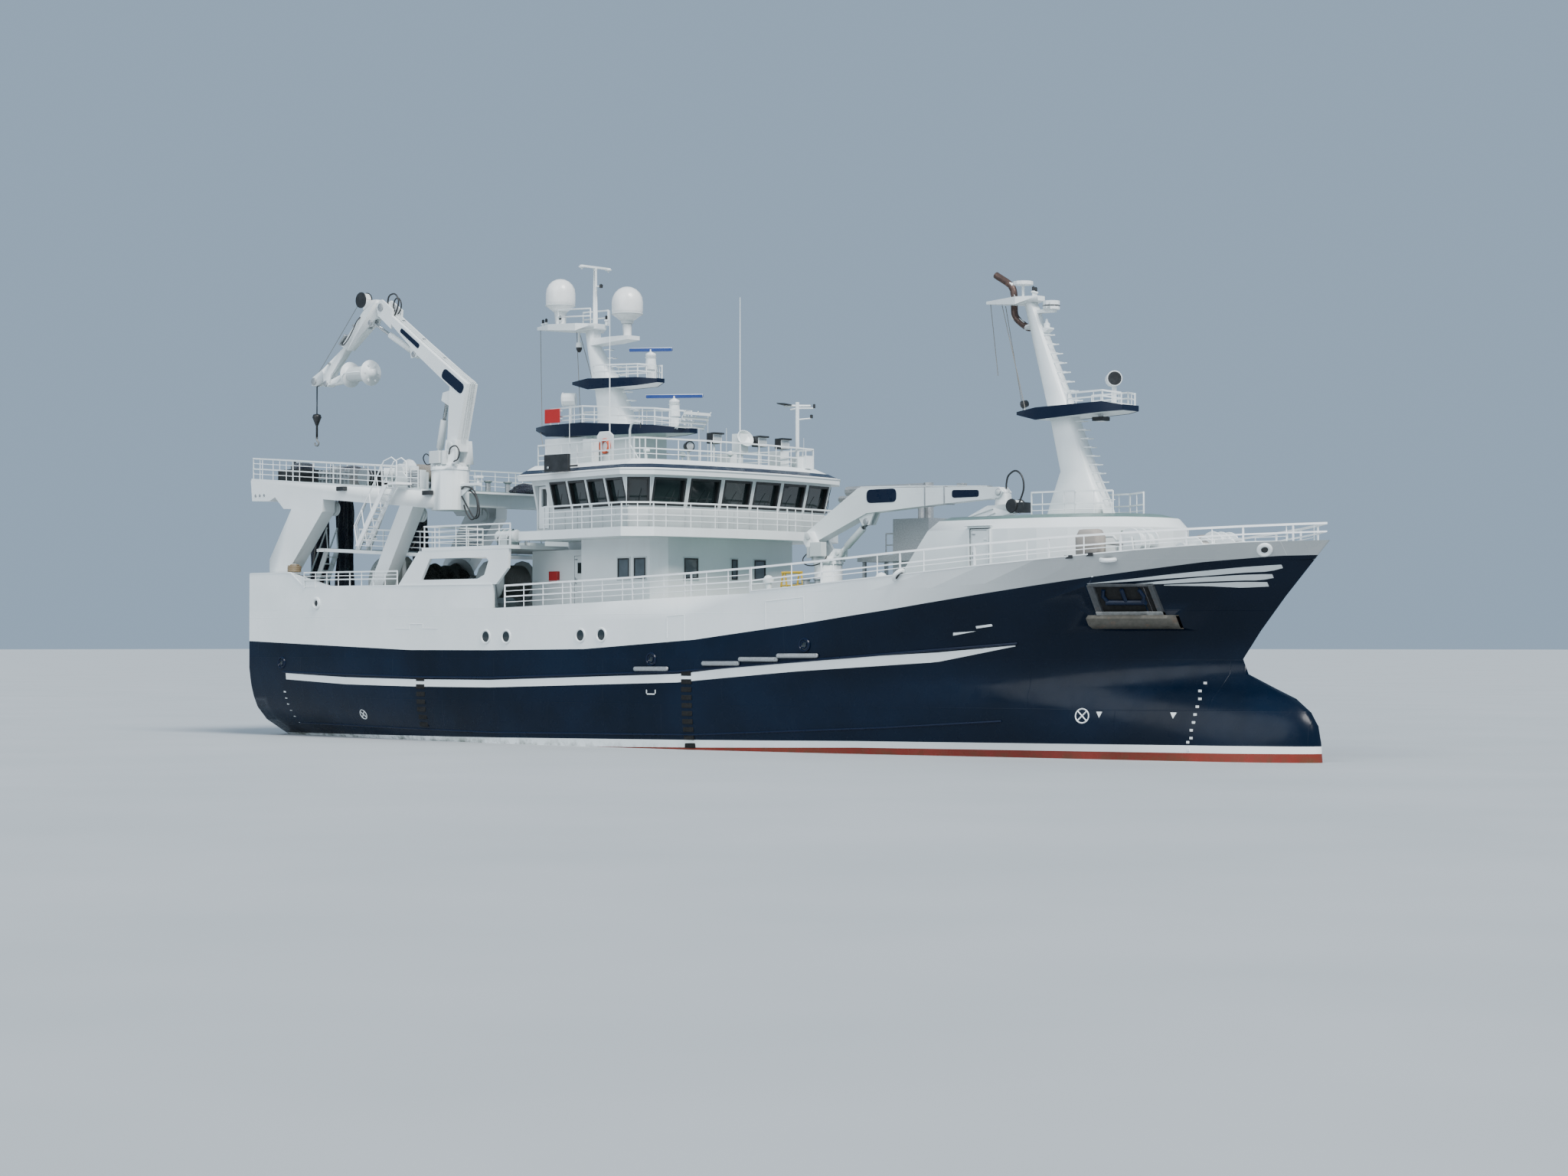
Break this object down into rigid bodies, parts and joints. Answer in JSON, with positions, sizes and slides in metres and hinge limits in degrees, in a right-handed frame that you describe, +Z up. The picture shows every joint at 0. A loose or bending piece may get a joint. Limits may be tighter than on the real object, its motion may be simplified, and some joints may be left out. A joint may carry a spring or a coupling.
{
  "type": "fishing trawler, 1:2 scale model",
  "caption": "Stern trawler afloat with bulbous bow, two masts, gantry and net drums over the aft deck, and knuckle-boom cranes that slew, luff and fold; 1:2 scale model.",
  "frame": {"origin": "centre line at the waterline, amidships", "axes": "+X to the bow, +Y to port, +Z up"},
  "size_m": [25.5579, 6.2172, 12.19],
  "materials": {
    "white_paint": "gloss white ship paint, weathered",
    "hull_paint": "dark blue topsides with a white upper band and red-brown bottom",
    "navy_paint": "gloss dark blue paint",
    "grey_paint": "grey machinery paint",
    "rod_steel": "polished cylinder rods",
    "galvanised": "galvanised, dull",
    "window_glass": "dark tinted window band",
    "net": "wound trawl netting",
    "black_steel": "black hook and wire",
    "bronze": "propeller bronze"
  },
  "bodies": {
    "ship": {"hull": "hull_paint", "bulwark_aft": "white_paint", "bulwark_bow": "white_paint", "deck_rail": "white_paint", "deckhouse": "white_paint", "bridge_deck": "white_paint", "wheelhouse_walls": "white_paint", "wheelhouse_glass": "window_glass", "wheelhouse_roof": "white_paint", "helm_console": "grey_paint", "boat_deck": "white_paint", "side_screen_starboard": "white_paint", "side_screen_port": "white_paint", "funnel_casing": "white_paint", "main_mast": "white_paint", "mast_platform_low": "navy_paint", "mast_platform_mid": "navy_paint", "radome_aft": "white_paint", "radome_fore": "white_paint", "gantry_starboard": "white_paint", "gantry_port": "white_paint", "gantry_deck": "white_paint", "gantry_mid_deck": "white_paint", "stair_low": "white_paint", "stair_high": "white_paint", "stern_net": "net", "net_drum_frame": "white_paint", "trawl_winch_frame": "grey_paint", "fore_casing": "white_paint", "fore_mast": "white_paint", "fore_mast_platform": "navy_paint", "windlass": "white_paint", "fish_separator": "galvanised"},
    "deckhouse_door_starboard": {"deckhouse_door_starboard": "white_paint"},
    "deckhouse_door_port": {"deckhouse_door_port": "white_paint"},
    "wheelhouse_door_starboard": {"wheelhouse_door_starboard": "white_paint"},
    "wheelhouse_door_port": {"wheelhouse_door_port": "white_paint"},
    "fore_casing_door": {"fore_casing_door": "white_paint"},
    "radar_low": {"radar_low": "navy_paint"},
    "radar_high": {"radar_high": "navy_paint"},
    "net_drum_top": {"net_drum_top": "grey_paint"},
    "net_drum": {"net_drum": "net"},
    "trawl_drum_port": {"trawl_drum_port": "grey_paint"},
    "trawl_drum_starboard": {"trawl_drum_starboard": "grey_paint"},
    "aft_crane_column": {"aft_crane_column": "white_paint"},
    "aft_crane_boom": {"aft_crane_boom": "white_paint"},
    "aft_crane_jib": {"aft_crane_jib": "white_paint"},
    "aft_crane_net_block": {"aft_crane_net_block": "white_paint"},
    "aft_crane_hook": {"aft_crane_hook": "black_steel"},
    "aft_crane_luff_barrel": {"aft_crane_luff_barrel": "white_paint"},
    "aft_crane_luff_rod": {"aft_crane_luff_rod": "rod_steel"},
    "aft_crane_jib_barrel": {"aft_crane_jib_barrel": "white_paint"},
    "aft_crane_jib_rod": {"aft_crane_jib_rod": "rod_steel"},
    "fore_crane_column": {"fore_crane_column": "white_paint"},
    "fore_crane_boom": {"fore_crane_boom": "white_paint"},
    "fore_crane_jib": {"fore_crane_jib": "white_paint"},
    "fore_crane_luff_barrel": {"fore_crane_luff_barrel": "white_paint"},
    "fore_crane_luff_rod": {"fore_crane_luff_rod": "rod_steel"},
    "propeller": {"propeller": "bronze"},
    "rudder": {"rudder": "navy_paint"}
  },
  "joints": [
    {"name": "aft_crane_slew", "type": "hinge", "parent": "ship", "child": "aft_crane_column", "pos_m": [-6.725, -2.2, 5.485], "axis": [0, 0, 1], "range_deg": [-80, 170]},
    {"name": "aft_crane_luff", "type": "hinge", "parent": "aft_crane_column", "child": "aft_crane_boom", "pos_m": [-6.475, -2.2, 5.975], "axis": [0, 1, 0], "range_deg": [-10, 25]},
    {"name": "aft_crane_fold", "type": "hinge", "parent": "aft_crane_boom", "child": "aft_crane_jib", "pos_m": [-8.775, -2.2, 8.965], "axis": [0, -1, 0], "range_deg": [-40, 30]},
    {"name": "aft_crane_block_tilt", "type": "hinge", "parent": "aft_crane_jib", "child": "aft_crane_net_block", "pos_m": [-10.65, -2.2, 7.49], "axis": [0, -1, 0], "range_deg": [-20, 12]},
    {"name": "aft_crane_hook_swing", "type": "hinge", "parent": "aft_crane_jib", "child": "aft_crane_hook", "pos_m": [-11.075, -2.2, 7.56], "axis": [0, -1, 0], "range_deg": [-30, 40]},
    {"name": "aft_crane_luff_barrel_pivot", "type": "hinge", "parent": "aft_crane_column", "child": "aft_crane_luff_barrel", "pos_m": [-7.1, -2.2, 5.75], "axis": [0, 1, 0], "range_deg": [-7.08, 17.56]},
    {"name": "aft_crane_luff_rod_slide", "type": "slide", "parent": "aft_crane_luff_barrel", "child": "aft_crane_luff_rod", "axis": [0.2277, 0, 0.9737], "range_m": [-0.091, 0.2261]},
    {"name": "aft_crane_jib_barrel_pivot", "type": "hinge", "parent": "aft_crane_boom", "child": "aft_crane_jib_barrel", "pos_m": [-7.775, -2.2, 7.925], "axis": [0, -1, 0], "range_deg": [-6.36, 4.8]},
    {"name": "aft_crane_jib_rod_slide", "type": "slide", "parent": "aft_crane_jib_barrel", "child": "aft_crane_jib_rod", "axis": [-0.8809, 0, 0.4734], "range_m": [-0.2231, 0.2971]},
    {"name": "fore_crane_slew", "type": "hinge", "parent": "ship", "child": "fore_crane_column", "pos_m": [0.75, 1, 3.5], "axis": [0, 0, 1], "range_deg": [-100, 15]},
    {"name": "fore_crane_luff", "type": "hinge", "parent": "fore_crane_column", "child": "fore_crane_boom", "pos_m": [0.395, 1, 4.05], "axis": [0, -1, 0], "range_deg": [0, 45]},
    {"name": "fore_crane_unfold", "type": "hinge", "parent": "fore_crane_boom", "child": "fore_crane_jib", "pos_m": [5.075, 1, 4.75], "axis": [0, -1, 0], "range_deg": [0, 99]},
    {"name": "fore_crane_luff_barrel_pivot", "type": "hinge", "parent": "fore_crane_column", "child": "fore_crane_luff_barrel", "pos_m": [1.075, 1, 3.71], "axis": [0, -1, 0], "range_deg": [-0.1, 47.44]},
    {"name": "fore_crane_luff_rod_slide", "type": "slide", "parent": "fore_crane_luff_barrel", "child": "fore_crane_luff_rod", "axis": [0.7756, 0, 0.6312], "range_m": [-0.001, 0.578]},
    {"name": "net_drum_top_turn", "type": "hinge", "parent": "ship", "child": "net_drum_top", "pos_m": [-8.95, -1, 5.575], "axis": [0, 1, 0], "continuous": true},
    {"name": "net_drum_turn", "type": "hinge", "parent": "ship", "child": "net_drum", "pos_m": [-10.2, 0, 3.275], "axis": [0, 1, 0], "continuous": true},
    {"name": "trawl_drum_port_turn", "type": "hinge", "parent": "ship", "child": "trawl_drum_port", "pos_m": [-5.8, 1.5, 3.225], "axis": [0, 1, 0], "continuous": true},
    {"name": "trawl_drum_starboard_turn", "type": "hinge", "parent": "ship", "child": "trawl_drum_starboard", "pos_m": [-5.8, -1.5, 3.225], "axis": [0, 1, 0], "continuous": true},
    {"name": "radar_low_turn", "type": "hinge", "parent": "ship", "child": "radar_low", "pos_m": [-2.48, 0, 6.75], "axis": [0, 0, 1], "continuous": true},
    {"name": "radar_high_turn", "type": "hinge", "parent": "ship", "child": "radar_high", "pos_m": [-3.15, 0, 7.725], "axis": [0, 0, 1], "continuous": true},
    {"name": "propeller_turn", "type": "hinge", "parent": "ship", "child": "propeller", "pos_m": [-10.475, 0, -1.6], "axis": [1, 0, 0], "continuous": true},
    {"name": "rudder_turn", "type": "hinge", "parent": "ship", "child": "rudder", "pos_m": [-11.5, 0, -1.6], "axis": [0, 0, 1], "range_deg": [-35, 35]},
    {"name": "deckhouse_door_starboard_swing", "type": "hinge", "parent": "ship", "child": "deckhouse_door_starboard", "pos_m": [-3.305, -1.65, 3.225], "axis": [0, 0, 1], "range_deg": [0, 110]},
    {"name": "deckhouse_door_port_swing", "type": "hinge", "parent": "ship", "child": "deckhouse_door_port", "pos_m": [-3.305, 1.65, 3.225], "axis": [0, 0, -1], "range_deg": [0, 110]},
    {"name": "wheelhouse_door_starboard_swing", "type": "hinge", "parent": "ship", "child": "wheelhouse_door_starboard", "pos_m": [-3.605, -2.355, 4.7], "axis": [0, 0, 1], "range_deg": [0, 90]},
    {"name": "wheelhouse_door_port_swing", "type": "hinge", "parent": "ship", "child": "wheelhouse_door_port", "pos_m": [-3.605, 2.355, 4.7], "axis": [0, 0, -1], "range_deg": [0, 90]},
    {"name": "fore_casing_door_swing", "type": "hinge", "parent": "ship", "child": "fore_casing_door", "pos_m": [6.87, -1.675, 3.55], "axis": [0, 0, 1], "range_deg": [0, 110]}
  ],
  "couplings": [
    {"joint": "aft_crane_luff_barrel_pivot", "follows": "aft_crane_luff", "ratio": 0.6982},
    {"joint": "aft_crane_luff_rod_slide", "follows": "aft_crane_luff", "m_per_rad": 0.5159},
    {"joint": "aft_crane_jib_barrel_pivot", "follows": "aft_crane_fold", "ratio": 0.1566},
    {"joint": "aft_crane_jib_rod_slide", "follows": "aft_crane_fold", "m_per_rad": -0.4241},
    {"joint": "aft_crane_hook_swing", "follows": "aft_crane_fold", "ratio": -1},
    {"joint": "fore_crane_unfold", "follows": "fore_crane_luff", "ratio": 2.2},
    {"joint": "fore_crane_luff_barrel_pivot", "follows": "fore_crane_luff", "ratio": 1.0519},
    {"joint": "fore_crane_luff_rod_slide", "follows": "fore_crane_luff", "m_per_rad": 0.7347}
  ]
}
